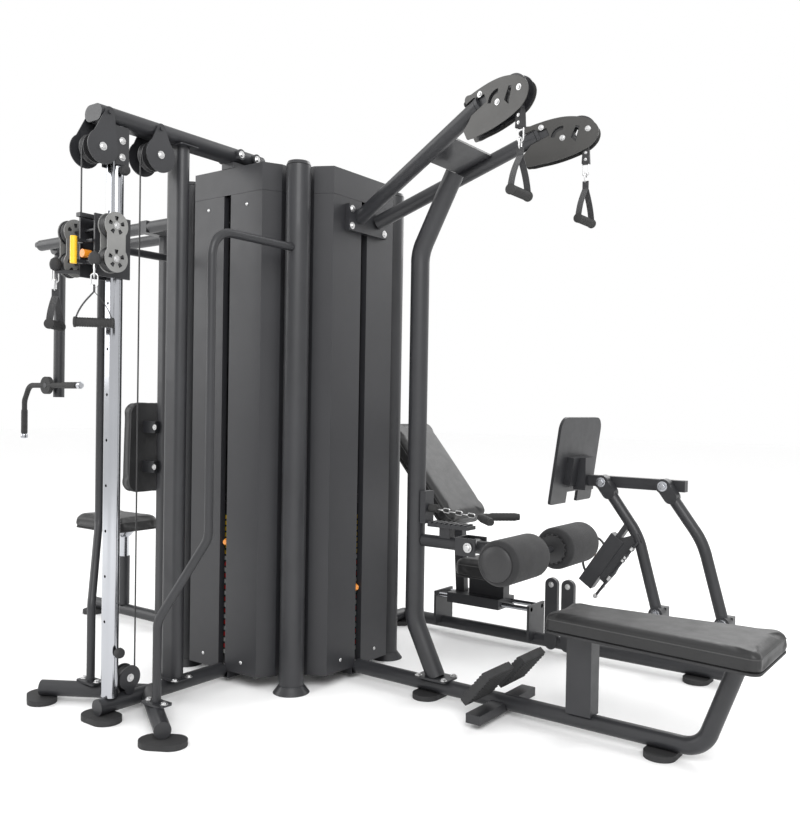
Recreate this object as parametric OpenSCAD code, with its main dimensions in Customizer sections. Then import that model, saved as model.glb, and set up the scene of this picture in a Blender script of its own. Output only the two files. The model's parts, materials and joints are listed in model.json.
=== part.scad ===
/* [Tower] */
// Height of the tower, crown included
tower_h = 2150; // [2050:10:2160]
// Height of the crown cap
crown_h = 112; // [80:1:140]
// Distance from the tower's centre to a shroud's outer face
face_r = 407; // [400:1:430]
// Half width of a shroud's outer face
face_half = 203; // [190:1:215]
// Distance of each round corner post from the two arm planes
post_p = 320; // [315:1:335]
// Diameter of the round corner posts
post_d = 100; // [80:1:110]

/* [Weight stacks] */
// Plates in each stack
plate_count = 24; // [20:1:26]
// Vertical pitch of the plates
plate_pitch = 25; // [24:1:28]
// Travel clearance of a plate on its guide rod
rod_gap = 1; // [0.5:0.1:2]

/* [Cable column] */
// Distance of the chrome column from the tower's centre
column_y = 957; // [930:1:980]
// Distance of the dark rear post from the tower's centre
rear_y = 666; // [640:1:690]
// Height of the top beam's centre line
beam_z = 2204; // [2190:1:2320]
// Height of the carriage's centre
carriage_z = 1728; // [1500:1:1750]

/* [Lat pulldown and row] */
// Distance of the upright from the tower's centre
upright_x = 703; // [690:1:720]
// Height of the bench pad's top
bench_z = 440; // [420:1:460]

/* [Leg press] */
// Distance of the leg press from the tower's centre
leg_y = 900; // [880:1:920]
// Diameter of the linkage pins
link_pin_d = 20; // [16:1:24]

/* [Press station] */
// Height of the overhead shaft
shaft_z = 2050; // [2040:1:2060]
// Distance of the overhead shaft from the tower's centre
shaft_x = 1850; // [1800:1:1900]

/* [Hidden] */
$fn = 48;

crown_z = tower_h - crown_h;
stack_r = 310;
plate_z0 = 100;
plate_t = plate_pitch - 2;
plate_size = [100, 250];
rod_half = 70;
rod_d = 25;
pin_d = 8;
knob_d = 30;
// stack order: lat, cable, leg, press; turned so that each faces out along its arm
STACK_TURN = [0, -90, 90, 180];
// plates above each selector pin stay on the lifted group
PIN_PLATE = [11, 19, 14, 15];
foot_size = [170, 110, 20];
rail_z = 50;
// the carriage pin sits level with the column's ninth hole at the carriage's default height
pop_z = carriage_z - 31;
pulley_y = column_y + 93;
arm_side = 117;
front_pulley = [0, -1048, 2076];
rear_pulley = [0, -795, 2106];
low_pulley = [0, -883, 135];
// the two vertical cable falls run in the top pulleys' grooves
front_fall_y = front_pulley.y - 48.5;
rear_fall_y = rear_pulley.y - 51.5;
twin_half = 58;
// overhead lat arms
arm_root = [430, 60, 1960];
arm_tip = [1105, 221, 2255];
arm_vec = arm_tip - arm_root;
arm_az = atan2(arm_vec.y, arm_vec.x);
arm_el = atan2(arm_vec.z, norm([arm_vec.x, arm_vec.y]));
arm_len = norm(arm_vec);
// swivel head, in its own XZ plane: X runs on along the arm, Z is square to it
head_pin = [94, -59];
head_eye = [165, -124];
// hold-down rollers
roller_pivot = [983, 0, 628];
roller_axle = [1280, 0, 640];
// leg press linkage: the two arms are parallel and equal
leg_low = [[1415, 275], [1700, 275]];
leg_arm_vec = [-265, 565];
leg_arm_y = leg_y - 49;
rod_rail_z = 200;
leg_rod_half = 55;
// a bend is a little thicker than its tube, and the tube runs this far into it
elbow_swell = 0.8;
sink = 3;

function along(p, q, t) = p + (q - p) * t;

function unit(v) = v / norm(v);

// Solid round bar from p to q.
module rod(p, q, d) {
    v = q - p;
    translate(p)
        rotate([0, acos(v.z / norm(v)), atan2(v.y, v.x)])
            cylinder(h = norm(v), d = d);
}

// Elbow that starts at p heading along a and leaves along b.
module elbow(p, a, b, bend, d) {
    axis = unit(cross(a, b));
    out = cross(a, axis);
    c = p - bend * out;
    multmatrix([[out.x, a.x, axis.x, c.x], [out.y, a.y, axis.y, c.y], [out.z, a.z, axis.z, c.z]])
        rotate_extrude(angle = acos(a * b))
            translate([bend, 0])
                circle(d = d + elbow_swell);
}

// Round bar through a list of points, each corner bent to the given radius. The straight
// pieces end inside the elbows, so that no two faces coincide.
module tube(pts, d, bend) {
    last = len(pts) - 1;
    dirs = [for (i = [0 : last - 1]) unit(pts[i + 1] - pts[i])];
    trim = [for (i = [0 : last])
        i == 0 || i == last ? 0 : bend * tan(acos(dirs[i - 1] * dirs[i]) / 2)];
    for (i = [0 : last - 1])
        rod(pts[i] + max(0, trim[i] - sink) * dirs[i],
            pts[i + 1] - max(0, trim[i + 1] - sink) * dirs[i], d);
    for (i = [1 : 1 : last - 1])
        elbow(pts[i] - trim[i] * dirs[i - 1], dirs[i - 1], dirs[i], bend, d);
}

module oval(l, w) {
    square([l - w, w], center = true);
    for (s = [-1, 1])
        translate([s * (l - w) / 2, 0])
            circle(d = w);
}

module rounded(l, w, r) {
    square([l - 2 * r, w], center = true);
    square([l, w - 2 * r], center = true);
    for (x = [-1, 1], y = [-1, 1])
        translate([x * (l / 2 - r), y * (w / 2 - r)])
            circle(r);
}

// Hollow flat-oval tube standing on the XY plane, long side along X.
module oval_tube(l, w, h, wall = 3) {
    linear_extrude(h)
        difference() {
            oval(l, w);
            oval(l - 2 * wall, w - 2 * wall);
        }
}

// Closed box whose lower corner is p.
module block(p, size) {
    translate(p)
        cube(size);
}

// Short cylinder with its axis along X, centred at p.
module disc_x(p, d, t) {
    translate(p)
        rotate([0, 90, 0])
            cylinder(h = t, d = d, center = true);
}

// Flat bar in the XZ plane along a list of points, rounded at each, y is its mid plane.
module bar_xz(pts, w, y, t) {
    translate([0, y + t / 2, 0])
        rotate([90, 0, 0])
            linear_extrude(t) {
                for (p = pts)
                    translate(p)
                        circle(d = w);
                for (i = [0 : len(pts) - 2])
                    let (v = pts[i + 1] - pts[i])
                        translate(pts[i])
                            rotate(atan2(v.y, v.x))
                                translate([0, -w / 2])
                                    square([norm(v), w]);
            }
}

module disc_y(p, d, t) {
    translate(p)
        rotate([90, 0, 0])
            cylinder(h = t, d = d, center = true);
}

// Grooved pulley with five windows and a bore, axis along X, centred at the origin.
module pulley(d, t, bore) {
    rotate([0, 90, 0])
        difference() {
            rotate_extrude()
                polygon([[bore / 2, -t / 2], [d / 2, -t / 2], [d / 2, -t / 2 + 3], [d / 2 - 7, -2],
                    [d / 2 - 7, 2], [d / 2, t / 2 - 3], [d / 2, t / 2], [bore / 2, t / 2]]);
            for (k = [0 : 4])
                rotate(72 * k)
                    translate([d * 0.27, 0, -t])
                        cylinder(h = 2 * t, d = d * 0.16);
        }
}

module at_stack(i) {
    rotate(STACK_TURN[i])
        translate([stack_r, 0, 0])
            children();
}

module base_frame() {
    color("#2b2b2d") {
        for (a = [0 : 90 : 270])
            rotate(a)
                difference() {
                    block([40, -40, 20], [face_r - 40, 80, 30]);
                    block([39, -36, 24], [face_r, 72, 22]);
                }
        block([-40, -40, 20], [80, 80, 30]);
        difference() {
            translate([face_r, 0, rail_z])
                rotate([0, 90, 0])
                    cylinder(h = 1811 - face_r, d = 60);
            translate([face_r - 1, 0, rail_z])
                rotate([0, 90, 0])
                    cylinder(h = 1813 - face_r, d = 52);
        }
        tube([[1811, 0, rail_z], [1880, 0, rail_z], [1990, 0, bench_z - 85]], 60, 90);
        block([1400, -35, rail_z + 25], [96, 70, bench_z - 85 - rail_z - 25]);
        block([1360, -60, bench_z - 85], [640, 120, 24]);
    }
}

module corner_posts() {
    color("#29292b")
        for (x = [-1, 1], y = [-1, 1])
            translate([x * post_p, y * post_p, 0]) {
                difference() {
                    translate([0, 0, 30])
                        cylinder(h = tower_h - 46, d = post_d);
                    translate([0, 0, 34])
                        cylinder(h = tower_h - 54, d = post_d - 8);
                }
                cylinder(h = 30, d1 = post_d + 50, d2 = post_d + 4);
                translate([0, 0, tower_h - 14])
                    cylinder(h = 14, d1 = post_d, d2 = post_d - 12);
            }
}

// One folded panel in plan; the other half is its mirror image.
module panel_plan() {
    t = 3;
    polygon([[face_r - stack_r - 28, 20], [face_r - stack_r, 20], [face_r - stack_r, face_half],
        [face_r - stack_r - 73, face_half + 38], [-50, face_half + 38],
        [-50, face_half + 38 - t], [face_r - stack_r - 74, face_half + 38 - t],
        [face_r - stack_r - t, face_half - 1], [face_r - stack_r - t, 20 + t],
        [face_r - stack_r - 28, 20 + t]]);
}

module shroud(i) {
    color("#3d3e41")
        at_stack(i)
            for (s = [0, 1])
                mirror([0, s, 0])
                    translate([0, 0, 52])
                        linear_extrude(crown_z - 52)
                            panel_plan();
}

module shroud_lat() {
    shroud(0);
}

module shroud_cable() {
    shroud(1);
}

module shroud_leg() {
    shroud(2);
}

module shroud_press() {
    shroud(3);
}

module crown_plan(inset) {
    for (a = [0 : 90 : 270])
        rotate(a)
            polygon([[0, 0], [face_half + 37 - inset, face_half + 37 - inset],
                [face_r - 73 - inset, face_half + 38 - inset], [face_r - inset, face_half - inset],
                [face_r - inset, inset - face_half], [face_r - 73 - inset, inset - face_half - 38],
                [face_half + 37 - inset, inset - face_half - 37]]);
}

module crown_cap() {
    color("#3d3e41")
        difference() {
            translate([0, 0, crown_z + 1])
                linear_extrude(crown_h - 1)
                    crown_plan(0);
            translate([0, 0, crown_z])
                linear_extrude(crown_h - 4)
                    crown_plan(4);
        }
}

module guide_rods() {
    color("silver") {
        for (i = [0 : 3], s = [-1, 1])
            at_stack(i)
                translate([0, s * rod_half, 50])
                    cylinder(h = crown_z + 40, d = rod_d);
        for (s = [-1, 1])
            rod([270, leg_y + s * leg_rod_half, rod_rail_z],
                [800, leg_y + s * leg_rod_half, rod_rail_z], 22);
    }
}

// Plates k0 to k1, counted up from the floor, joined by an inset core, with rod and stem holes.
module plate_block(k0, k1, pinned = false) {
    z0 = plate_z0 + k0 * plate_pitch;
    h = (k1 - k0) * plate_pitch + plate_t;
    difference() {
        union() {
            for (k = [k0 : k1])
                translate([-plate_size.x / 2, -plate_size.y / 2, plate_z0 + k * plate_pitch])
                    cube([plate_size.x, plate_size.y, plate_t]);
            translate([4 - plate_size.x / 2, 4 - plate_size.y / 2, z0])
                cube([plate_size.x - 8, plate_size.y - 8, h]);
        }
        for (s = [-1, 1])
            translate([0, s * rod_half, z0 - 1])
                cylinder(h = h + 2, d = rod_d + 2 * rod_gap);
        translate([0, 0, z0 - 1])
            cylinder(h = h + 2, d = 28);
        if (pinned)
            translate([12, 0, z0 + plate_t / 2])
                rotate([0, 90, 0])
                    cylinder(h = 60, d = pin_d + 0.6);
    }
}

module resting_plates() {
    color("#1c1c1e")
        for (i = [0 : 3])
            at_stack(i) {
                for (s = [-1, 1])
                    translate([0, s * rod_half, 50])
                        difference() {
                            cylinder(h = plate_z0 - 50, d = 60);
                            translate([0, 0, -1])
                                cylinder(h = plate_z0, d = rod_d);
                        }
                plate_block(0, PIN_PLATE[i] - 1);
            }
}

// Plates above the selector pin, the head and the stem that hangs through the rest.
module lifted(i) {
    top = plate_z0 + plate_count * plate_pitch;
    color("#1c1c1e")
        at_stack(i) {
            plate_block(PIN_PLATE[i], plate_count - 1, true);
            translate([0, 0, plate_z0 + 4])
                difference() {
                    cylinder(h = top - plate_z0 - 4, d = 24);
                    translate([0, 0, (PIN_PLATE[i]) * plate_pitch + plate_t / 2 - 4])
                        rotate([0, 90, 0])
                            cylinder(h = 60, d = pin_d + 0.6);
                }
            difference() {
                translate([-50, -plate_size.y / 2, top])
                    cube([100, plate_size.y, 45]);
                for (s = [-1, 1])
                    translate([0, s * rod_half, top - 1])
                        cylinder(h = 60, d = rod_d + 2 * rod_gap);
            }
            translate([0, 0, top + 45])
                cylinder(h = 40, d = 22);
        }
}

module plates_lat() {
    lifted(0);
}

module plates_cable() {
    lifted(1);
}

module plates_leg() {
    lifted(2);
}

module plates_press() {
    lifted(3);
}

module selector_pin(i) {
    color("darkorange")
        at_stack(i)
            translate([13, 0, plate_z0 + PIN_PLATE[i] * plate_pitch + plate_t / 2])
                rotate([0, 90, 0]) {
                    cylinder(h = 42, d = pin_d);
                    translate([0, 0, 42])
                        cylinder(h = 26, d = knob_d);
                    translate([0, 0, 68])
                        cylinder(h = 8, d1 = knob_d, d2 = knob_d - 10);
                }
}

module pin_lat() {
    selector_pin(0);
}

module pin_cable() {
    selector_pin(1);
}

module pin_leg() {
    selector_pin(2);
}

module pin_press() {
    selector_pin(3);
}

module top_beam() {
    color("#29292b") {
        translate([0, -1048, beam_z])
            rotate([-90, 0, 0])
                oval_tube(100, 60, 808);
        translate([0, -1052, beam_z])
            rotate([-90, 0, 0])
                linear_extrude(4)
                    oval(100, 60);
        for (y = [-390, -300])
            disc_x([0, y, beam_z], 44, 124);
        block([-35, -410, tower_h], [70, 150, beam_z - 30 - tower_h]);
    }
}

module chrome_column() {
    color("silver")
        difference() {
            translate([0, -column_y, 80])
                linear_extrude(beam_z - 30 - 80)
                    difference() {
                        oval(70, 50);
                        oval(62, 42);
                    }
            for (k = [0 : 10])
                translate([0, -column_y - 30, 361 + 167 * k])
                    rotate([-90, 0, 0])
                        cylinder(h = 20, d = 11);
        }
}

module rear_post() {
    color("#29292b") {
        translate([0, -rear_y, 84])
            oval_tube(100, 55, beam_z - 30 - 88);
        for (z = [80, beam_z - 34])
            translate([0, -rear_y, z])
                linear_extrude(4)
                    rounded(140, 90, 12);
    }
}

module trident_base() {
    color("#29292b") {
        rod([0, -face_r, rail_z], [0, -1010, rail_z], 60);
        for (s = [-1, 1])
            rod([0, -780, rail_z], [s * 366, -1005, rail_z], 60);
    }
}

module feet() {
    color("#1f1f20")
        for (p = [[0, -990, 0], [366, -1003, 30], [-366, -1003, -30], [788, 0, 90], [1747, 0, 90],
            [1584, leg_y, 90], [0, leg_y, 90], [-1450, 0, 90], [0, 0, 0]])
            translate([p.x, p.y, 0])
                rotate(p.z)
                    linear_extrude(foot_size.z)
                        oval(foot_size.x, foot_size.y);
}

// Teardrop cheek plate in the YZ plane, from an upper bolt to a pulley centre.
module cheek(x, y_top, z_top, y, z, r) {
    translate([x, 0, 0])
        rotate([90, 0, 90])
            linear_extrude(4) {
                translate([y, z])
                    circle(r);
                translate([y_top, z_top])
                    circle(20);
                polygon([[y - r, z], [y + r, z], [y_top + 20, z_top], [y_top - 20, z_top]]);
            }
}

module pulley_housings() {
    color("#29292b") {
        for (x = [-56, 52]) {
            cheek(x, front_pulley.y + 26, beam_z, front_pulley.y, front_pulley.z, 62);
            cheek(x, rear_pulley.y, beam_z, rear_pulley.y, rear_pulley.z, 66);
        }
        for (x = [-23, 19])
            cheek(x, low_pulley.y, 90, low_pulley.y, low_pulley.z, 46);
        for (p = [front_pulley, rear_pulley]) {
            disc_x(p, 12, 112);
            disc_x([0, p.y == front_pulley.y ? p.y + 26 : p.y, beam_z], 14, 124);
        }
        disc_x(low_pulley, 12, 48);
    }
}

module top_pulley_front() {
    color("#202022")
        translate(front_pulley)
            pulley(104, 26, 12.1);
}

module top_pulley_rear() {
    color("#202022")
        translate(rear_pulley)
            pulley(110, 26, 12.1);
}

module bottom_pulley() {
    color("#202022")
        translate(low_pulley)
            pulley(80, 26, 12.1);
}

module grab_tubes() {
    color("#3a3b3e")
        for (s = [-1, 1]) {
            tube([[s * 200, -900, 84], [s * 200, -900, 380], [s * 330, -780, 680],
                [s * 330, -780, 1800], [s * 330, -post_p - 40, 1800]], 32, 90);
            translate([s * 200, -900, 78])
                linear_extrude(8)
                    rounded(110, 60, 10);
        }
}

// The cable's rear fall, from the top pulley to the bottom pulley.
module rear_cable() {
    color("#151516")
        rod([0, rear_fall_y, low_pulley.z], [0, rear_fall_y, rear_pulley.z], 6);
}

module carriage() {
    front = -pulley_y - 22;
    back = -column_y + 34;
    color("#26262a") {
        for (s = [-1, 1]) {
            block([s * 44 - 4, front, carriage_z - 110], [8, back - front, 220]);
            // outer cheek of each figure-eight pulley pair
            difference() {
                union() {
                    for (z = [-twin_half, twin_half])
                        disc_x([s * (arm_side + 20), -pulley_y, carriage_z + z], 92, 4);
                    block([s * (arm_side + 20) - 2, front + 4, carriage_z - twin_half],
                        [4, 36, 2 * twin_half]);
                }
                for (z = [-twin_half, twin_half], k = [0 : 4])
                    disc_x([s * (arm_side + 20), -pulley_y + 27 * cos(72 * k),
                        carriage_z + z + 27 * sin(72 * k)], 15, 20);
            }
        }
        for (z = [-twin_half, twin_half])
            disc_x([0, -pulley_y, carriage_z + z], 12, 2 * arm_side + 52);
        difference() {
            block([-40, -column_y - 33, carriage_z - 100], [80, 6, 200]);
            translate([0, -column_y - 40, pop_z])
                rotate([-90, 0, 0])
                    cylinder(h = 20, d = 10.6);
        }
        block([-40, back - 6, carriage_z - 100], [80, 6, 200]);
        block([-12, -pulley_y - 58, carriage_z + 96], [24, 124, 14]);
        for (z = [-66, 8])
            block([-8, -pulley_y - 80, carriage_z + z], [16, 60, 10]);
        for (z = [-66, 8], s = [-1, 1])
            block([s * 25 - 17, -pulley_y - 30, carriage_z + z], [34, 10, 10]);
        for (s = [-1, 1])
            rod([s * 44, -pulley_y - 16, carriage_z - 92],
                [s * arm_side, -pulley_y - 70, carriage_z - 92], 14);
    }
}

module yellow_grip() {
    color("gold")
        difference() {
            rod([0, -pulley_y - 75, carriage_z - 72], [0, -pulley_y - 75, carriage_z + 24], 24);
            for (z = [-66, 8])
                block([-8.2, -pulley_y - 81, carriage_z + z - 0.2], [16.4, 60, 10.4]);
        }
}

module pop_pin() {
    color("darkorange")
        translate([0, -column_y - 26, pop_z])
            rotate([90, 0, 0]) {
                cylinder(h = 80, d = 10);
                translate([0, 0, 76])
                    cylinder(h = 32, d = 30);
            }
}

module twin_pulleys(z) {
    color("#202022")
        for (s = [-1, 1])
            translate([s * arm_side, -pulley_y, carriage_z + z])
                pulley(88, 24, 12.1);
}

module carriage_pulleys_upper() {
    twin_pulleys(twin_half);
}

module carriage_pulleys_lower() {
    twin_pulleys(-twin_half);
}

// Strap handle in the YZ plane: webbing down both sides of a round grip.
module strap_handle(p, drop, half) {
    for (s = [-1, 1])
        rod(p, [p.x, p.y + s * half, p.z - drop], 8);
    rod([p.x, p.y - half, p.z - drop], [p.x, p.y + half, p.z - drop], 32);
}

module carriage_handles() {
    color("#1b1b1c")
        for (s = [-1, 1]) {
            strap_handle([s * arm_side, -pulley_y - 70, carriage_z - 110], 150, 62);
            rod([s * arm_side, -pulley_y - 70, carriage_z - 110],
                [s * arm_side, -pulley_y - 70, carriage_z - 80], 30);
        }
}

module carriage_cable() {
    color("#151516")
        rod([0, front_fall_y, carriage_z + 110.5], [0, front_fall_y, front_pulley.z], 6);
}

module lat_upright() {
    color("#29292b") {
        tube([[815, 0, 80], [upright_x, 0, 300], [upright_x, 0, 1800], [863, 0, 2100]], 76, 160);
        translate([815, 0, 78])
            linear_extrude(8)
                rounded(150, 100, 14);
    }
}

module lat_arms() {
    color("#29292b") {
        for (s = [-1, 1])
            mirror([0, s < 0 ? 1 : 0, 0])
                translate(arm_root)
                    rotate([0, -arm_el, arm_az])
                        difference() {
                            rotate([0, 90, 0])
                                cylinder(h = arm_len, d = 60);
                            translate([arm_len - 70, 0, 0])
                                rotate([0, 90, 0])
                                    cylinder(h = 80, d = 30.1);
                        }
        block([face_r + 1, -130, 1900], [24, 260, 110]);
        translate([870, 0, 2165])
            rotate([0, -arm_el, 0])
                cube([150, 340, 10], center = true);
    }
}

module at_head(s) {
    mirror([0, s < 0 ? 1 : 0, 0])
        translate(arm_root)
            rotate([0, -arm_el, arm_az])
                translate([arm_len, 0, 0])
                    children();
}

// Leaf-shaped plate with a round tip, an arc slot and a notch for the arm's end.
module head_plate() {
    difference() {
        union() {
            translate([162, -72])
                circle(66);
            translate([96, -52])
                circle(76);
            translate([40, -78])
                circle(46);
            translate([30, 2])
                circle(24);
            polygon([[12, 16], [96, 24], [162, -6], [215, -110], [162, -138], [96, -128], [-60, -98],
                [-78, -50], [0, -62]]);
        }
        translate([-30, -24])
            square([82, 36]);
        difference() {
            translate(head_pin)
                circle(46);
            translate(head_pin)
                circle(32);
            translate([head_pin.x - 60, head_pin.y - 60])
                square([120, 60]);
            translate([head_pin.x - 60, head_pin.y - 2])
                square([22, 60]);
        }
        translate([head_pin.x + 40, head_pin.y - 34])
            rotate(52)
                square([52, 18]);
    }
}

module head(s) {
    color("#26262a")
        at_head(s) {
            translate([-60, 0, 0])
                rotate([0, 90, 0])
                    cylinder(h = 66, d = 30);
            translate([2, 0, 0])
                rotate([0, 90, 0])
                    cylinder(h = 14, d = 62);
            translate([15, -15, -21])
                cube([40, 30, 42]);
            for (y = [-19, 15])
                translate([0, y + 4, 0])
                    rotate([90, 0, 0])
                        linear_extrude(4)
                            head_plate();
            disc_y([head_pin.x, 0, head_pin.y], 12, 44);
            for (p = [[34, 18], [196, -74]])
                disc_y([p.x, 0, p.y], 12, 38);
            disc_y([head_eye.x, 0, head_eye.y], 8, 38);
        }
}

module head_pulley(s) {
    color("#202022")
        at_head(s)
            translate([head_pin.x, 0, head_pin.y])
                rotate(90)
                    pulley(100, 26, 12.1);
}

module head_left() {
    head(-1);
}

module head_right() {
    head(1);
}

module head_pulley_left() {
    head_pulley(-1);
}

module head_pulley_right() {
    head_pulley(1);
}

// Cable block and strap handle that hang from the eye of a swivel head.
module lat_handle(s) {
    side = [cos(arm_az), sin(arm_az), 0];
    ahead = unit(arm_vec);
    above = cross(ahead, [-sin(arm_az), cos(arm_az), 0]);
    eye = arm_tip + head_eye.x * ahead + head_eye.y * above;
    top = [eye.x, s * eye.y, eye.z];
    stop = top - [0, 0, 70];
    sling = top - [0, 0, 140];
    color("#1b1b1c") {
        at_head(s)
            translate([head_eye.x, 0, head_eye.y])
                difference() {
                    disc_y([0, 0, 0], 20, 24);
                    disc_y([0, 0, 0], 8.1, 30);
                }
        rod(stop + [0, 0, 40], top - [0, 0, 9], 8);
        rod(stop, stop + [0, 0, 44], 28);
        rod(sling, stop + [0, 0, 4], 6);
        strap_handle(sling, 155, 62);
    }
}

module lat_handle_left() {
    lat_handle(-1);
}

module lat_handle_right() {
    lat_handle(1);
}

module row_station() {
    color("#29292b") {
        rod([upright_x + 40, 0, roller_pivot.z], [roller_pivot.x - 40, 0, roller_pivot.z], 50);
        for (y = [-46, 38])
            block([roller_pivot.x - 60, y, roller_pivot.z - 35], [90, 8, 70]);
        block([roller_pivot.x - 60, -46, roller_pivot.z - 35], [8, 92, 70]);
        disc_y(roller_pivot, 16, 100);
        block([upright_x + 40, -30, 700], [26, 60, 130]);
        block([830, -18, roller_pivot.z + 20], [50, 36, 44]);
        block([780, -30, roller_pivot.z + 62], [190, 60, 14]);
        for (x = [784 : 23 : 950])
            block([x, -30, roller_pivot.z + 76], [12, 60, 6]);
    }
}

module foot_pads() {
    color("#29292b")
        for (s = [-1, 1])
            translate([1130, s * 130, 150])
                rotate([0, -50, 0]) {
                    cube([150, 170, 12], center = true);
                    for (k = [-2 : 2])
                        translate([k * 26, 0, 8])
                            cube([10, 160, 6], center = true);
                }
    color("#29292b")
        block([1090, -215, 20], [60, 430, 34]);
}

module bench_pad() {
    color("#1d1d1f")
        translate([0, 0, bench_z - 60])
            linear_extrude(60)
                polygon([[1335, -125], [2110, -195], [2110, 195], [1335, 125]]);
}

// Hold-down arm: bracket tongue on the bolt, tube forward, cross axle.
module roller_arm() {
    color("#29292b")
        difference() {
            union() {
                disc_y(roller_pivot, 56, 70);
                rod(roller_pivot, roller_axle, 46);
                disc_y(roller_axle, 24, 700);
            }
            disc_y(roller_pivot, 16.1, 72);
        }
}

module foam_rollers() {
    color("#19191a")
        for (s = [-1, 1])
            translate([roller_axle.x, s * 215, roller_axle.z])
                rotate([90, 0, 0])
                    difference() {
                        cylinder(h = 260, d = 160, center = true);
                        cylinder(h = 262, d = 24.1, center = true);
                    }
}

// Ball stop, chain and V handle, held by the row cable.
module row_handle() {
    color("#1b1b1c") {
        rod([upright_x + 70, 0, 762], [upright_x + 110, 0, 760], 34);
        rod([upright_x + 108, 0, 760], [984, 0, 745], 10);
        tube([[1120, -110, 745], [1000, 0, 745], [1120, 110, 745]], 26, 30);
    }
}

module leg_frame() {
    top = leg_low[1].x + 40;
    color("#29292b") {
        rod([0, face_r, rail_z], [0, leg_y, rail_z], 60);
        rod([0, leg_y, rail_z], [top, leg_y, rail_z], 60);
        for (x = [262, 800])
            block([x - 12, leg_y - 80, rail_z], [12, 160, 170]);
        for (p = leg_low) {
            block([p.x - 30, leg_y - 20, rail_z], [60, 40, p.y - rail_z + 25]);
            disc_y([p.x, leg_y - 29, p.y], link_pin_d, 98);
        }
        for (x = [890, 975])
            bar_xz([[x, rail_z], [x, 330]], 64, leg_y - 20, 24);
    }
}

// Seat carriage: bearing block on the rods, seat post and back frame.
module leg_seat() {
    color("#29292b") {
        difference() {
            block([330, leg_y - 80, rod_rail_z - 25], [300, 160, 50]);
            for (s = [-1, 1])
                rotate([0, 90, 0])
                    translate([-rod_rail_z, leg_y + s * leg_rod_half, 320])
                        cylinder(h = 330, d = 22.6);
        }
        block([430, leg_y - 30, rod_rail_z + 25], [200, 60, 114]);
        bar_xz([[370, rod_rail_z + 20], [351, 538], [41, 908]], 50, leg_y, 40);
    }
}

module leg_pads() {
    color("#1d1d1f") {
        block([420, leg_y - 190, 340], [340, 380, 75]);
        translate([190, leg_y, 830])
            rotate([0, -40, 0])
                cube([70, 380, 640], center = true);
    }
}

// Plan of the foot plate: round upper corners and a notch in the lower edge.
module foot_plate_plan() {
    difference() {
        union() {
            translate([0, 50])
                rounded(440, 310, 60);
            translate([0, -100])
                rounded(440, 200, 14);
        }
        translate([-60, -210])
            square([120, 62]);
    }
}

// Carrier link with foot plate; its two pins hang in the arms' bores.
module leg_link() {
    top = [leg_low[0] + leg_arm_vec, leg_low[1] + leg_arm_vec];
    color("#29292b") {
        block([top[0].x - 110, leg_y - 20, top[0].y - 25], [top[1].x - top[0].x + 190, 40, 50]);
        for (p = top)
            disc_y([p.x, leg_y - 29, p.y], link_pin_d, 98);
        block([top[0].x - 150, leg_y - 45, top[0].y - 45], [60, 90, 150]);
        translate([top[0].x - 160, leg_y, 930])
            rotate([0, 8, 0]) {
                rotate([90, 0, 90])
                    translate([0, 0, -7])
                        linear_extrude(14)
                            foot_plate_plan();
                block([5, -110, -110], [35, 220, 130]);
            }
    }
}

// Curved arm with a clevis block at its upper end.
module leg_arm(p, bore) {
    y = leg_arm_y;
    high = p + leg_arm_vec;
    mid = along(p, high, 0.55) + [52, 24];
    color("#29292b")
        difference() {
            union() {
                disc_y([p.x, y, p.y], 64, 54);
                disc_y([high.x, y, high.y], 64, 54);
                bar_xz([high, along(high, mid, 0.2)], 58, y, 54);
                tube([[p.x, y, p.y], [mid.x, y, mid.y], [high.x, y, high.y]], 50, 320);
                children();
            }
            disc_y([p.x, y, p.y], link_pin_d + 0.1, 70);
            disc_y([high.x, y, high.y], bore, 70);
        }
}

// The inner arm carries the slanted adjuster strut.
module leg_arm_inner() {
    leg_arm(leg_low[0], link_pin_d + 0.1) {
        bar_xz([[1160, 487], [1270, 650]], 24, leg_arm_y, 40);
        translate([1121, leg_arm_y, 429])
            rotate([0, -56, 0])
                translate([0, -24, -35])
                    cube([150, 48, 70]);
    }
}

module leg_arm_outer() {
    leg_arm(leg_low[1], link_pin_d + 1);
}

module press_frame() {
    color("#29292b") {
        for (s = [-1, 1])
            rod([-face_r - 1, s * 120, shaft_z], [-shaft_x, s * 120, shaft_z], 60);
        disc_y([-shaft_x, 0, shaft_z], 30, 300);
        rod([-face_r, 0, rail_z], [-1500, 0, rail_z], 60);
        translate([-900, 0, 78])
            oval_tube(80, 60, shaft_z - 108);
        block([-930, -150, shaft_z - 30], [60, 300, 60]);
        for (z = [838, 1042])
            block([-1000, -60, z - 30], [100, 120, 60]);
        difference() {
            translate([-1220, 0, 78])
                cylinder(h = 260, d = 60);
            translate([-1220, 0, 82])
                cylinder(h = 258, d = 48.6);
        }
    }
}

module press_back_pad() {
    color("#1d1d1f")
        translate([-1036, 0, 695])
            linear_extrude(480)
                rounded(70, 300, 24);
}

module press_arm() {
    color("#29292b")
        difference() {
            union() {
                disc_y([-shaft_x, 0, shaft_z], 76, 80);
                rod([-shaft_x, 0, shaft_z], [-shaft_x, 0, 1190], 62);
                disc_y([-shaft_x, -60, 1257], 30, 60);
            }
            disc_y([-shaft_x, 0, shaft_z], 30.1, 90);
        }
}

module press_grips() {
    c = [-shaft_x, -75, 1257];
    color("#1b1b1c")
        difference() {
            union() {
                disc_y([c.x, -75, c.z], 100, 26);
                rod(c, c + [310, 0, 0], 30);
                tube([c, c + [-180, 0, 0], c + [-232, 0, -90], c + [-232, 0, -290]], 30, 60);
            }
            disc_y([c.x, -70, c.z], 30.1, 60);
        }
}

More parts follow.
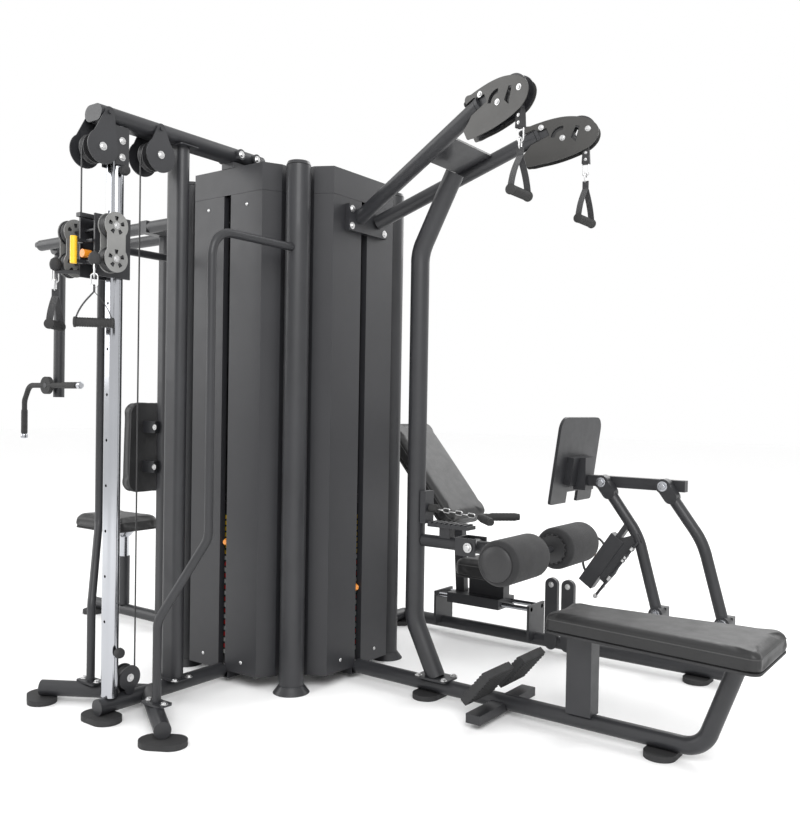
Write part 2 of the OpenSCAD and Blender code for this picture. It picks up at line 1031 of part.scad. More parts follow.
module press_seat() {
    color("#1d1d1f") {
        translate([-1290, 0, 490])
            linear_extrude(60)
                rounded(400, 300, 40);
        translate([-1220, 0, 90])
            cylinder(h = 400, d = 48);
    }
}

base_frame();
corner_posts();
shroud_lat();
shroud_cable();
shroud_leg();
shroud_press();
crown_cap();
guide_rods();
resting_plates();
top_beam();
chrome_column();
rear_post();
trident_base();
feet();
pulley_housings();
grab_tubes();
rear_cable();
lat_upright();
lat_arms();
row_station();
foot_pads();
bench_pad();
leg_frame();
press_frame();
press_back_pad();
plates_lat();
plates_cable();
plates_leg();
plates_press();
pin_lat();
pin_cable();
pin_leg();
pin_press();
carriage();
yellow_grip();
pop_pin();
carriage_pulleys_upper();
carriage_pulleys_lower();
carriage_handles();
carriage_cable();
top_pulley_front();
top_pulley_rear();
bottom_pulley();
head_left();
head_right();
head_pulley_left();
head_pulley_right();
lat_handle_left();
lat_handle_right();
roller_arm();
foam_rollers();
row_handle();
leg_seat();
leg_pads();
leg_link();
leg_arm_inner();
leg_arm_outer();
press_arm();
press_grips();
press_seat();
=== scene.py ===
import json
import math

import bmesh
import bpy
from mathutils import Matrix, Vector
from mathutils.bvhtree import BVHTree


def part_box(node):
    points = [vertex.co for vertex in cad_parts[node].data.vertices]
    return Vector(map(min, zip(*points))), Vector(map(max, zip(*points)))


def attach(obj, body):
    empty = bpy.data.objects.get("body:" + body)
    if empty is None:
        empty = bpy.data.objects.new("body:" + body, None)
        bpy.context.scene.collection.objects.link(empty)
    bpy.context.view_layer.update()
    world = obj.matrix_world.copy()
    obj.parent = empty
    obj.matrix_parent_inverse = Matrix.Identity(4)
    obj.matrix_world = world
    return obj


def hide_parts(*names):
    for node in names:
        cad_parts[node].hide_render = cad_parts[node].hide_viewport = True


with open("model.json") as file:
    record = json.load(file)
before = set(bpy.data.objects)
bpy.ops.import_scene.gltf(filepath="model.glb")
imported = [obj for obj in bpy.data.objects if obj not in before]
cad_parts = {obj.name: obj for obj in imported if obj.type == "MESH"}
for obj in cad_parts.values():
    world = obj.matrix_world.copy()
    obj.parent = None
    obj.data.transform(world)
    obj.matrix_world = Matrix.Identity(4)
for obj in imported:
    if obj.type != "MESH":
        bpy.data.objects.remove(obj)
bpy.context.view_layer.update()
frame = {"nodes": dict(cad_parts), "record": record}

NODES = frame["nodes"]

# places and sizes the pieces below are built round, in metres
TOWER_FACE = 0.407
COLUMN_Y = -0.957
REAR_POST_Y = -0.666
BEAM_Z = 2.204
CARRIAGE = Vector((0, -1.05, 1.728))
# how far the carriage's two pulley axles lie above and below its centre
AXLE_RISE = 0.058
HANDLE_SIDE = 0.117
ROLLER_PIVOT = Vector((0.983, 0, 0.628))
ROLLER_LENGTH = 0.26
# ends of the far foam roller along its axle; the near one is its mirror image
ROLLER_INNER, ROLLER_OUTER = 0.085, 0.345
LEG_ARM_Y = 0.851
LEG_BOLT_Y = 0.8222
PRESS_HUB = Vector((-1.85, -0.075, 1.257))
SEAT_POST_X = -1.22
# the far lat arm's two ends; the near arm is its mirror image
ARM_ROOT, ARM_TIP = (0.430, 0.060, 1.960), (1.105, 0.221, 2.255)
# X and Z of the slot's centre and of the cable's eye in a swivel head's own frame
HEAD_PIN = (0.094, -0.059)
HEAD_EYE = (0.165, -0.124)
# a plane upright in X and Z, seen from the -Y side
UPRIGHT_XZ = Matrix(((1, 0, 0), (0, 0, -1), (0, 1, 0))).to_4x4()
# a plane upright in Y and Z, seen from the +X side
UPRIGHT_YZ = Matrix(((0, 0, 1), (1, 0, 0), (0, 1, 0))).to_4x4()


# ---------------------------------------------------------------- camera and light

def make_camera():
    """The camera of the photograph, solved from the object's own right angles."""
    place = Vector((2.759, -2.931, 1.173))
    heading, pitch, roll = math.radians(36.21), math.radians(-0.93), math.radians(0.95)
    view = Vector((-math.sin(heading) * math.cos(pitch), math.cos(heading) * math.cos(pitch),
                   math.sin(pitch)))
    right = Vector((math.cos(heading), math.sin(heading), 0))
    up = right.cross(view)
    right_r = right * math.cos(roll) + up * math.sin(roll)
    up_r = up * math.cos(roll) - right * math.sin(roll)
    cam = bpy.data.objects.new("camera", bpy.data.cameras.new("camera"))
    bpy.context.scene.collection.objects.link(cam)
    cam.matrix_world = Matrix((right_r, up_r, -view)).transposed().to_4x4()
    cam.location = place
    cam.data.lens = 37.47
    cam.data.sensor_width = 36
    bpy.context.scene.camera = cam


def area_light(name, place, aim, size, power):
    light = bpy.data.lights.new(name, "AREA")
    light.size = size
    light.energy = power
    obj = bpy.data.objects.new(name, light)
    bpy.context.scene.collection.objects.link(obj)
    obj.location = place
    obj.rotation_mode = "QUATERNION"
    obj.rotation_quaternion = (Vector(aim) - Vector(place)).to_track_quat("-Z", "Y")


def make_stage():
    bpy.context.scene.view_settings.view_transform = "Standard"
    world = bpy.data.worlds.new("studio")
    bpy.context.scene.world = world
    world.use_nodes = True
    world.node_tree.nodes["Background"].inputs[0].default_value = (1, 1, 1, 1)
    world.node_tree.nodes["Background"].inputs[1].default_value = 1.0
    area_light("key", (4.5, -4.5, 5.0), (0, 0, 1), 4.0, 300)
    area_light("fill", (-5.0, -3.5, 3.5), (0, 0, 1), 4.5, 150)
    area_light("rim", (1.0, 5.0, 4.5), (0, 0, 1.2), 4.0, 160)
    bm = bmesh.new()
    bmesh.ops.create_grid(bm, x_segments=4, y_segments=4, size=30)
    floor = piece("floor", bm, plain_floor())
    floor.location.z = -0.0005


# ---------------------------------------------------------------- materials

def node_material(name, colour, rough, metal=0.0, coat=0.0, sheen=0.0):
    """A Principled material; returns it with its tree, shader and object coordinates."""
    mat = bpy.data.materials.new(name)
    mat.use_nodes = True
    tree = mat.node_tree
    shader = tree.nodes["Principled BSDF"]
    shader.inputs["Base Color"].default_value = (*colour, 1)
    shader.inputs["Roughness"].default_value = rough
    shader.inputs["Metallic"].default_value = metal
    shader.inputs["Coat Weight"].default_value = coat
    shader.inputs["Sheen Weight"].default_value = sheen
    coords = tree.nodes.new("ShaderNodeTexCoord").outputs["Object"]
    return mat, tree, shader, coords


def noise(tree, coords, scale, detail=4.0):
    tex = tree.nodes.new("ShaderNodeTexNoise")
    tex.inputs["Scale"].default_value = scale
    tex.inputs["Detail"].default_value = detail
    tree.links.new(coords, tex.inputs["Vector"])
    return tex.outputs["Fac"]


def cells(tree, coords, scale):
    tex = tree.nodes.new("ShaderNodeTexVoronoi")
    tex.inputs["Scale"].default_value = scale
    tree.links.new(coords, tex.inputs["Vector"])
    return tex.outputs["Distance"]


def bands(tree, coords, scale, direction):
    tex = tree.nodes.new("ShaderNodeTexWave")
    tex.bands_direction = direction
    tex.inputs["Scale"].default_value = scale
    tree.links.new(coords, tex.inputs["Vector"])
    return tex.outputs["Fac"]


def spread(tree, value, low, high):
    """Maps a 0 to 1 value to low..high."""
    ramp = tree.nodes.new("ShaderNodeMapRange")
    ramp.inputs["To Min"].default_value = low
    ramp.inputs["To Max"].default_value = high
    tree.links.new(value, ramp.inputs["Value"])
    return ramp.outputs["Result"]


def tint(tree, shader, value, dark, light):
    ramp = tree.nodes.new("ShaderNodeValToRGB")
    ramp.color_ramp.elements[0].color = (*dark, 1)
    ramp.color_ramp.elements[1].color = (*light, 1)
    ramp.color_ramp.elements[0].position = 0.3
    ramp.color_ramp.elements[1].position = 0.7
    tree.links.new(value, ramp.inputs["Fac"])
    tree.links.new(ramp.outputs["Color"], shader.inputs["Base Color"])


def bump(tree, shader, height, strength, distance):
    node = tree.nodes.new("ShaderNodeBump")
    node.inputs["Strength"].default_value = strength
    node.inputs["Distance"].default_value = distance
    tree.links.new(height, node.inputs["Height"])
    tree.links.new(node.outputs["Normal"], shader.inputs["Normal"])


def shaded(colour, k):
    return tuple(c * k for c in colour)


def surface(name, colour, rough, metal=0.0, coat=0.0, sheen=0.0, grain=400, depth=0.1, vary=0.15,
            pattern="noise"):
    """A moulded, painted or woven surface: grain in the bump, patches in colour and gloss."""
    mat, tree, shader, coords = node_material(name, colour, rough, metal, coat, sheen)
    patch = noise(tree, coords, 7.0)
    tint(tree, shader, patch, shaded(colour, 1 - vary), shaded(colour, 1 + vary))
    gloss = noise(tree, coords, 23.0)
    tree.links.new(spread(tree, gloss, rough * 0.82, min(1.0, rough * 1.18)),
                   shader.inputs["Roughness"])
    if pattern == "cells":
        height = cells(tree, coords, grain)
    elif pattern == "weave":
        cross = tree.nodes.new("ShaderNodeMath")
        cross.operation = "MAXIMUM"
        tree.links.new(bands(tree, coords, grain, "Z"), cross.inputs[0])
        tree.links.new(bands(tree, coords, grain, "X"), cross.inputs[1])
        height = cross.outputs[0]
    else:
        height = noise(tree, coords, grain, 3.0)
    bump(tree, shader, height, depth, 0.0006)
    return mat


def plain_floor():
    return surface("studio_floor", (0.985, 0.985, 0.985), 0.9, grain=60, depth=0.02, vary=0.005)


COAT = (0.0175, 0.018, 0.0205)
M = {
    "powder_coat": surface("powder_coat", COAT, 0.46, coat=0.1, grain=900, depth=0.25),
    "shroud_paint": surface("shroud_paint", (0.0215, 0.0218, 0.0245), 0.42, grain=1100, depth=0.12,
                            vary=0.05),
    "chrome": surface("chrome", (0.44, 0.45, 0.475), 0.14, metal=1.0, grain=260, depth=0.02,
                      vary=0.03),
    "zinc": surface("zinc_bolt", (0.62, 0.62, 0.62), 0.3, metal=1.0, grain=500, depth=0.15),
    "plate_paint": surface("plate_paint", (0.014, 0.014, 0.015), 0.55, grain=500, depth=0.3),
    "orange_plastic": surface("orange_plastic", (0.78, 0.26, 0.015), 0.35, coat=0.3, grain=700,
                              depth=0.08, vary=0.06),
    "yellow_plastic": surface("yellow_plastic", (0.86, 0.50, 0.02), 0.4, coat=0.2, grain=700,
                              depth=0.08, vary=0.06),
    "pulley_nylon": surface("pulley_nylon", (0.018, 0.018, 0.019), 0.42, grain=800, depth=0.1),
    "leaf_paint": surface("leaf_paint", (0.050, 0.049, 0.047), 0.36, metal=0.3, grain=800,
                          depth=0.1, vary=0.08),
    "cheek_grey": surface("cheek_grey", (0.23, 0.23, 0.225), 0.45, metal=0.3, grain=700, depth=0.1),
    "black_vinyl": surface("black_vinyl", (0.009, 0.009, 0.0095), 0.50, coat=0.05, grain=520,
                           depth=0.35, pattern="cells"),
    "stitch": surface("stitch_thread", (0.05, 0.05, 0.05), 0.7, grain=1500, depth=0.4),
    "grip_rubber": surface("grip_rubber", (0.018, 0.018, 0.018), 0.72, grain=900, depth=0.5,
                           pattern="cells"),
    "rubber": surface("rubber", (0.022, 0.022, 0.023), 0.75, grain=600, depth=0.3),
    "foam": surface("foam", (0.014, 0.014, 0.015), 0.88, sheen=0.08, grain=1300, depth=0.5,
                    pattern="cells"),
    "webbing": surface("webbing", (0.020, 0.020, 0.022), 0.85, sheen=0.3, grain=260, depth=0.9,
                       pattern="weave"),
    "cable_jacket": surface("cable_jacket", (0.014, 0.014, 0.015), 0.4, coat=0.2, grain=900,
                            depth=0.1),
    "label_white": surface("label_white", (0.75, 0.75, 0.73), 0.45, grain=300, depth=0.03,
                           vary=0.04),
    "label_red": surface("label_red", (0.60, 0.04, 0.03), 0.45, grain=300, depth=0.03, vary=0.05),
    "label_yellow": surface("label_yellow", (0.85, 0.58, 0.03), 0.45, grain=300, depth=0.03,
                            vary=0.05),
}


def dress_cad():
    slots = {s["node"]: s["material_slot"] for s in frame["record"]["subparts"]}
    for name, obj in NODES.items():
        mat = M[slots[name]]
        if not obj.material_slots:
            obj.data.materials.append(mat)
        for s in obj.material_slots:
            s.material = mat


# ---------------------------------------------------------------- mesh helpers

def piece(name, bm, mat, smooth=True):
    """Turns a bmesh into an object with one material."""
    mesh = bpy.data.meshes.new(name)
    bm.normal_update()
    bm.to_mesh(mesh)
    bm.free()
    obj = bpy.data.objects.new(name, mesh)
    bpy.context.scene.collection.objects.link(obj)
    mesh.materials.append(mat)
    if smooth:
        mesh.shade_smooth()
    return obj


def bevel(obj, width, segments=2):
    mod = obj.modifiers.new("bevel", "BEVEL")
    mod.width = width
    mod.segments = segments
    mod.limit_method = "ANGLE"
    mod.angle_limit = math.radians(35)
    mod.harden_normals = True


def turned(axis):
    """Rotation that takes +Z to the axis."""
    return Vector((0, 0, 1)).rotation_difference(Vector(axis).normalized()).to_matrix().to_4x4()


def lathe_into(bm, profile, base, axis, steps=40):
    """Revolves (radius, height) points about the axis through base, closed at both ends."""
    place = Matrix.Translation(base) @ turned(axis)
    rings = []
    for r, h in profile:
        ring = []
        for k in range(steps):
            a = 2 * math.pi * k / steps
            ring.append(bm.verts.new(place @ Vector((r * math.cos(a), r * math.sin(a), h))))
        rings.append(ring)
    for low, high in zip(rings, rings[1:]):
        for k in range(steps):
            bm.faces.new((low[k], low[(k + 1) % steps], high[(k + 1) % steps], high[k]))
    bm.faces.new(rings[0][::-1])
    bm.faces.new(rings[-1])


def lathe(name, profile, base, axis, mat, body, steps=40):
    bm = bmesh.new()
    lathe_into(bm, profile, base, axis, steps)
    obj = piece(name, bm, mat)
    bevel(obj, 0.0012)
    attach(obj, body)
    return obj


def box_into(bm, low, high):
    low, high = Vector(low), Vector(high)
    made = bmesh.ops.create_cube(bm, size=1)["verts"]
    for v in made:
        v.co = Vector(low[i] + (v.co[i] + 0.5) * (high[i] - low[i]) for i in range(3))


def sweep_into(bm, points, section, up):
    """Sweeps a closed 2D section along points; up is the section's second axis direction."""
    rings = []
    for i, p in enumerate(points):
        ahead = points[min(i + 1, len(points) - 1)] - points[max(i - 1, 0)]
        side = Vector(up).cross(ahead).normalized()
        high = ahead.cross(side).normalized()
        rings.append([bm.verts.new(p + side * a + high * b) for a, b in section])
    n = len(section)
    for low, high in zip(rings, rings[1:]):
        for k in range(n):
            bm.faces.new((low[k], low[(k + 1) % n], high[(k + 1) % n], high[k]))
    bm.faces.new(rings[0][::-1])
    bm.faces.new(rings[-1])


def circle_section(r, n=12):
    return [(r * math.cos(2 * math.pi * k / n), r * math.sin(2 * math.pi * k / n))
            for k in range(n)]


def link_into(bm, centre, long_axis, normal, half, width, thick):
    """One oval chain or snap link as a swept ring."""
    along, across = Vector(long_axis).normalized(), Vector(normal).normalized()
    side = along.cross(across)
    steps, section = 28, circle_section(thick / 2, 10)
    rings = []
    for k in range(steps):
        a = 2 * math.pi * k / steps
        stretch = half if math.cos(a) > 0 else -half
        p = Vector(centre) + along * (stretch + width * math.cos(a)) + side * width * math.sin(a)
        out = along * math.cos(a) + side * math.sin(a)
        rings.append([bm.verts.new(p + out * u + across * v) for u, v in section])
    for k in range(steps):
        low, high = rings[k], rings[(k + 1) % steps]
        for j in range(10):
            bm.faces.new((low[j], low[(j + 1) % 10], high[(j + 1) % 10], high[j]))


def bolt_into(bm, place, axis, r):
    """Washer and domed hexagon head."""
    h = r * 0.8
    lathe_into(bm, [(r * 1.5, 0), (r * 1.5, r * 0.18), (r * 0.9, r * 0.19)], place, axis, 24)
    lathe_into(bm, [(r, r * 0.1), (r, h * 0.85), (r * 0.86, h)], place, axis, 6)


def bolts(name, places, r, body, mat="zinc"):
    bm = bmesh.new()
    for place, axis in places:
        bolt_into(bm, Vector(place), axis, r)
    obj = piece(name, bm, M[mat], smooth=False)
    bevel(obj, r * 0.06)
    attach(obj, body)


# ---------------------------------------------------------------- padded pieces

def rounded_outline(corners, radius, steps=8):
    """Corner points, anticlockwise, with each corner rounded by an arc."""
    out = []
    n = len(corners)
    for i in range(n):
        p = Vector(corners[i])
        a = (Vector(corners[i - 1]) - p).normalized()
        b = (Vector(corners[(i + 1) % n]) - p).normalized()
        half = a.angle(b) / 2
        centre = p + (a + b).normalized() * (radius / math.sin(half))
        start = p + a * (radius / math.tan(half)) - centre
        first = math.atan2(start.y, start.x)
        sweep = math.pi - 2 * half
        for k in range(steps + 1):
            turn = first + sweep * k / steps
            out.append(centre + Vector((math.cos(turn), math.sin(turn))) * radius)
    return out


def pad_blank(outline, thick, inset):
    """Closed slab of the outline, from z 0 up to thick, a little smaller than its space."""
    bm = bmesh.new()
    centre = sum(outline, Vector((0, 0))) / len(outline)
    ring = [centre + (p - centre) * (1 - inset / (p - centre).length) for p in outline]
    low = [bm.verts.new((p.x, p.y, 0)) for p in ring]
    high = [bm.verts.new((p.x, p.y, thick)) for p in ring]
    n = len(ring)
    for k in range(n):
        bm.faces.new((low[k], low[(k + 1) % n], high[(k + 1) % n], high[k]))
    bm.faces.new(low[::-1])
    bm.faces.new(high)
    bmesh.ops.recalc_face_normals(bm, faces=bm.faces)
    return bm


def inflate(obj, cap, base_z=0.004):
    """Crowns a slab with cloth pressure; what rests on its board stays flat."""
    rest = [v.co.copy() for v in obj.data.vertices]
    pin = obj.vertex_groups.new(name="board")
    pin.add([v.index for v in obj.data.vertices if v.co.z < base_z], 1.0, "REPLACE")
    cloth = obj.modifiers.new("cloth", "CLOTH")
    cloth.settings.use_pressure = True
    cloth.settings.uniform_pressure_force = 4
    cloth.settings.vertex_group_mass = "board"
    cloth.settings.effector_weights.gravity = 0
    cloth.settings.tension_stiffness = 12
    cloth.settings.compression_stiffness = 12
    cloth.collision_settings.use_collision = False
    cloth.point_cache.frame_end = 20
    for f in range(1, 21):
        bpy.context.scene.frame_set(f)
    done = obj.evaluated_get(bpy.context.evaluated_depsgraph_get())
    moved = [v.co.copy() for v in done.data.vertices]
    obj.modifiers.remove(cloth)
    for v, a, b in zip(obj.data.vertices, rest, moved):
        step = b - a
        if step.length > cap:
            step *= cap / step.length
        v.co = a + step
    bpy.context.scene.frame_set(1)


def pad(name, outline, thick, place, body, cap=0.009):
    """Crowned vinyl pad with an edge seam, made in its own plane and then put in place."""
    bm = pad_blank(outline, thick, 0.006)
    obj = piece(name, bm, M["black_vinyl"])
    soft = obj.modifiers.new("edge", "BEVEL")
    soft.width = min(0.018, thick * 0.3)
    soft.segments = 4
    remesh = obj.modifiers.new("remesh", "REMESH")
    remesh.mode = "VOXEL"
    remesh.voxel_size = 0.006
    bake_modifiers(obj)
    inflate(obj, cap)
    smooth = obj.modifiers.new("smooth", "SMOOTH")
    smooth.iterations = 3
    sub = obj.modifiers.new("sub", "SUBSURF")
    sub.levels = sub.render_levels = 1
    bake_modifiers(obj)
    obj.data.shade_smooth()
    seam = edge_seam(name + "_seam", obj, outline, thick * 0.72)
    board = back_board(name + "_board", outline)
    for part in (obj, seam, board):
        part.matrix_world = place
        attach(part, body)
    return [obj, seam, board]


def bake_modifiers(obj):
    done = obj.evaluated_get(bpy.context.evaluated_depsgraph_get())
    mesh = bpy.data.meshes.new_from_object(done)
    obj.modifiers.clear()
    obj.data = mesh


def edge_seam(name, obj, outline, z):
    """A welt laid round the pad where its side meets its top."""
    tree = BVHTree.FromObject(obj, bpy.context.evaluated_depsgraph_get())
    centre = sum(outline, Vector((0, 0))) / len(outline)
    rim = []
    for i, p in enumerate(outline):
        q = outline[(i + 1) % len(outline)]
        count = max(1, int((q - p).length / 0.02))
        for k in range(count):
            flat = p.lerp(q, k / count)
            out = (flat - centre).normalized()
            start = Vector((flat.x + out.x * 0.05, flat.y + out.y * 0.05, z))
            hit = tree.ray_cast(start, Vector((-out.x, -out.y, 0)))[0]
            rim.append(hit or Vector((flat.x, flat.y, z)))
    bm = bmesh.new()
    rings = []
    section = circle_section(0.0022, 8)
    n = len(rim)
    for i, p in enumerate(rim):
        ahead = (rim[(i + 1) % n] - rim[i - 1]).normalized()
        side = ahead.cross(Vector((0, 0, 1))).normalized()
        rings.append([bm.verts.new(p + side * a + Vector((0, 0, b))) for a, b in section])
    for i in range(n):
        low, high = rings[i], rings[(i + 1) % n]
        for j in range(8):
            bm.faces.new((low[j], low[(j + 1) % 8], high[(j + 1) % 8], high[j]))
    return piece(name, bm, M["stitch"])


def back_board(name, outline):
    bm = pad_blank(outline, 0.008, 0.012)
    for v in bm.verts:
        v.co.z -= 0.006
    obj = piece(name, bm, M["rubber"], smooth=False)
    bevel(obj, 0.0015)
    return obj


def make_pads():
    # bench: tapered towards the tower, thickness up
    lo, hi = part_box("bench_pad")
    narrow, wide = 0.125, (hi.y - lo.y) / 2
    outline = rounded_outline([(lo.x, -narrow), (hi.x, -wide), (hi.x, wide), (lo.x, narrow)], 0.035)
    parts = pad("bench_cushion", outline, 0.06, Matrix.Translation((0, 0, lo.z)), "frame")
    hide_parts("bench_pad")
    # press back pad faces -X; its outline is drawn in Y and Z
    lo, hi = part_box("press_back_pad")
    w, h = (hi.y - lo.y) / 2, (hi.z - lo.z) / 2
    outline = rounded_outline([(-w, -h), (w, -h), (w * 0.92, h), (-w * 0.92, h)], 0.06)
    turn = Matrix(((0, 0, -1), (-1, 0, 0), (0, 1, 0))).to_4x4()
    place = Matrix.Translation((hi.x, 0, (lo.z + hi.z) / 2)) @ turn
    parts = pad("press_back_cushion", outline, hi.x - lo.x, place, "frame")
    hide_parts("press_back_pad")
    # press seat: pad on a chromed post
    lo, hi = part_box("press_seat")
    outline = rounded_outline([(lo.x, lo.y), (hi.x, lo.y), (hi.x, hi.y), (lo.x, hi.y)], 0.05)
    parts = pad("press_seat_cushion", outline, 0.06, Matrix.Translation((0, 0, hi.z - 0.06)),
                "press_seat")
    lathe("press_seat_post", [(0.020, 0), (0.024, 0.003), (0.024, 0.352), (0.036, 0.36),
                              (0.06, 0.392), (0.06, 0.399)],
          (SEAT_POST_X, 0, lo.z), (0, 0, 1), M["chrome"], "press_seat")
    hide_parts("press_seat")
    # leg press seat and reclined back
    lo, hi = (0.42, 0.71, 0.34), (0.76, 1.09, 0.415)
    outline = rounded_outline([(lo[0], lo[1]), (hi[0], lo[1]), (hi[0], hi[1]), (lo[0], hi[1])],
                              0.045)
    seat = pad("leg_seat_cushion", outline, 0.075, Matrix.Translation((0, 0, lo[2])), "leg_seat")
    outline = rounded_outline([(-0.32, -0.19), (0.32, -0.19), (0.32, 0.19), (-0.32, 0.19)], 0.05)
    lean = math.radians(40)
    up = Vector((-math.sin(lean), 0, math.cos(lean)))
    face = Vector((math.cos(lean), 0, math.sin(lean)))
    turn = Matrix((up, face.cross(up), face)).transposed().to_4x4()
    place = Matrix.Translation(Vector((0.19, 0.9, 0.83)) - face * 0.035) @ turn
    pad("leg_back_cushion", outline, 0.07, place, "leg_seat")
    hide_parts("leg_pads")


# ---------------------------------------------------------------- rollers, handles, stacks

def make_rollers():
    """Two soft-edged foam rollers, each with an end cap and a toothed collar."""
    lo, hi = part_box("foam_rollers")
    r, x, z = (hi.z - lo.z) / 2, (lo.x + hi.x) / 2, (lo.z + hi.z) / 2
    soft = 0.022
    edge = [(r - soft + soft * math.sin(a), soft - soft * math.cos(a))
            for a in (math.pi / 2 * k / 6 for k in range(7))]
    length = ROLLER_LENGTH
    profile = [(0.0125, 0.006)] + edge + [(q, length - h) for q, h in reversed(edge)]
    profile += [(0.0125, length - 0.006)]
    first = None
    for s in (-1, 1):
        start = Vector((x, ROLLER_INNER if s > 0 else -ROLLER_OUTER, z))
        foam = lathe(f"foam_roller_{'near' if s < 0 else 'far'}", profile, start, (0, 1, 0),
                     M["foam"], "foam_rollers", 72)
        first = first or foam
        bm = bmesh.new()
        out = Vector((x, s * ROLLER_OUTER, z))
        lathe_into(bm, [(0.060, 0), (0.063, 0.002), (0.060, 0.006), (0.030, 0.009)], out,
                   (0, s, 0), 36)
        cap = piece(f"roller_cap_{'near' if s < 0 else 'far'}", bm, M["pulley_nylon"])
        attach(cap, "foam_rollers")
        toothed_collar(f"roller_collar_{'near' if s < 0 else 'far'}",
                       Vector((x, s * 0.069, z)), s)
    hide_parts("foam_rollers")


def flat_plate(name, outlines, thick, place, mat, body):
    """A plate with holes: the first outline is its rim, the others are cut out of it."""
    curve = bpy.data.curves.new(name, "CURVE")
    curve.dimensions = "2D"
    curve.fill_mode = "BOTH"
    curve.extrude = thick / 2 - 0.0005
    curve.bevel_depth = 0.0005
    for outline in outlines:
        spline = curve.splines.new("POLY")
        spline.points.add(len(outline) - 1)
        for point, (x, y) in zip(spline.points, outline):
            point.co = (x, y, 0, 1)
        spline.use_cyclic_u = True
    made = bpy.data.objects.new(name, curve)
    bpy.context.scene.collection.objects.link(made)
    done = made.evaluated_get(bpy.context.evaluated_depsgraph_get())
    mesh = bpy.data.meshes.new_from_object(done)
    bpy.data.objects.remove(made)
    bpy.data.curves.remove(curve)
    mesh.materials.clear()
    mesh.materials.append(mat)
    mesh.transform(place)
    obj = bpy.data.objects.new(name, mesh)
    bpy.context.scene.collection.objects.link(obj)
    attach(obj, body)
    return obj


def toothed_collar(name, place, s):
    bm = bmesh.new()
    lathe_into(bm, [(0.030, 0), (0.052, 0.004), (0.052, 0.014), (0.040, 0.016)], place, (0, s, 0),
               40)
    for k in range(16):
        a = 2 * math.pi * k / 16
        d = Vector((math.cos(a), 0, math.sin(a)))
        lathe_into(bm, [(0.0055, 0.003), (0.0055, 0.015)], place + d * 0.052, (0, s, 0), 8)
    obj = piece(name, bm, M["pulley_nylon"])
    bevel(obj, 0.0008)
    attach(obj, "roller_arm")


def strap_handle(name, top, drop, half, body, node=None, along=(0, 1, 0), stem=0.0):
    """Webbing sling with a ribbed rubber grip, hanging from top; both webs run down the stem."""
    along = Vector(along).normalized()
    across = along.cross(Vector((0, 0, 1))).normalized()
    web = [(-0.0125, -0.0012), (0.0125, -0.0012), (0.0125, 0.0012), (-0.0125, 0.0012)]
    split = top - Vector((0, 0, stem))
    bm = bmesh.new()
    for s in (-1, 1):
        foot = top + along * s * half - Vector((0, 0, drop))
        points = [top + along * s * 0.0014] if stem else []
        points += [split.lerp(foot, k / 10) + along * s * (0.0014 + 0.010 * math.sin(math.pi * k / 10))
                   for k in range(11)]
        sweep_into(bm, points, web, across.cross(foot - split))
    sling = piece(name + "_webbing", bm, M["webbing"])
    bevel(sling, 0.0006)
    length = 2 * half + 0.012
    ribs = []
    for k in range(14):
        h = 0.014 + k * (length - 0.028) / 13
        ribs += [(0.0158, h - 0.0028), (0.0172, h), (0.0158, h + 0.0028)]
    profile = [(0.012, 0), (0.0185, 0.002), (0.0185, 0.009)] + ribs
    profile += [(0.0185, length - 0.009), (0.0185, length - 0.002), (0.012, length)]
    start = top - along * length / 2 - Vector((0, 0, drop))
    grip = lathe(name + "_grip", profile, start, along, M["grip_rubber"], body, 32)
    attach(sling, body)
    if node:
        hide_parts(node)
    return grip


def snap_links(name, places, body, along=(0, 1, 0)):
    """Upright wire links, each turned a right angle from the one before it."""
    along = Vector(along).normalized()
    across = along.cross(Vector((0, 0, 1))).normalized()
    bm = bmesh.new()
    for k, (place, half, width) in enumerate(places):
        link_into(bm, place, (0, 0, 1), along if k % 2 else across, half, width, 0.0055)
    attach(piece(name, bm, M["zinc"]), body)


def make_carriage_handles():
    """Strap handles below the carriage, each with two links and a ball stop."""
    for s, w in ((-1, "left"), (1, "right")):
        top = Vector((s * HANDLE_SIDE, CARRIAGE.y - 0.07, CARRIAGE.z - 0.155))
        turn = math.radians(50 * s)
        along = (math.cos(turn), math.sin(turn), 0)
        name = "carriage_handle_" + w
        strap_handle(name, top, 0.13, 0.062, "carriage", along=along, stem=0.025)
        snap_links(name + "_link", [(top + Vector((0, 0, 0.016)), 0.012, 0.011),
                                    (top + Vector((0, 0, 0.050)), 0.014, 0.012)], "carriage", along)
        lathe(name + "_ball_stop", [(0.006, 0), (0.017, 0.006), (0.021, 0.018), (0.021, 0.028),
                                    (0.017, 0.040), (0.007, 0.048)],
              top + Vector((0, 0, 0.066)), (0, 0, 1), M["rubber"], "carriage")
    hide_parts("carriage_handles")


def arm_frame(s):
    """Frame of a swivel head: X runs on along its arm, Z is square to it, Y is sideways."""
    root, tip = (Vector((x, s * y, z)) for x, y, z in (ARM_ROOT, ARM_TIP))
    ahead = (tip - root).normalized()
    side = Vector((0, 0, 1)).cross(ahead).normalized()
    turn = Matrix((ahead, side, ahead.cross(side))).transposed().to_4x4()
    return Matrix.Translation(tip) @ turn


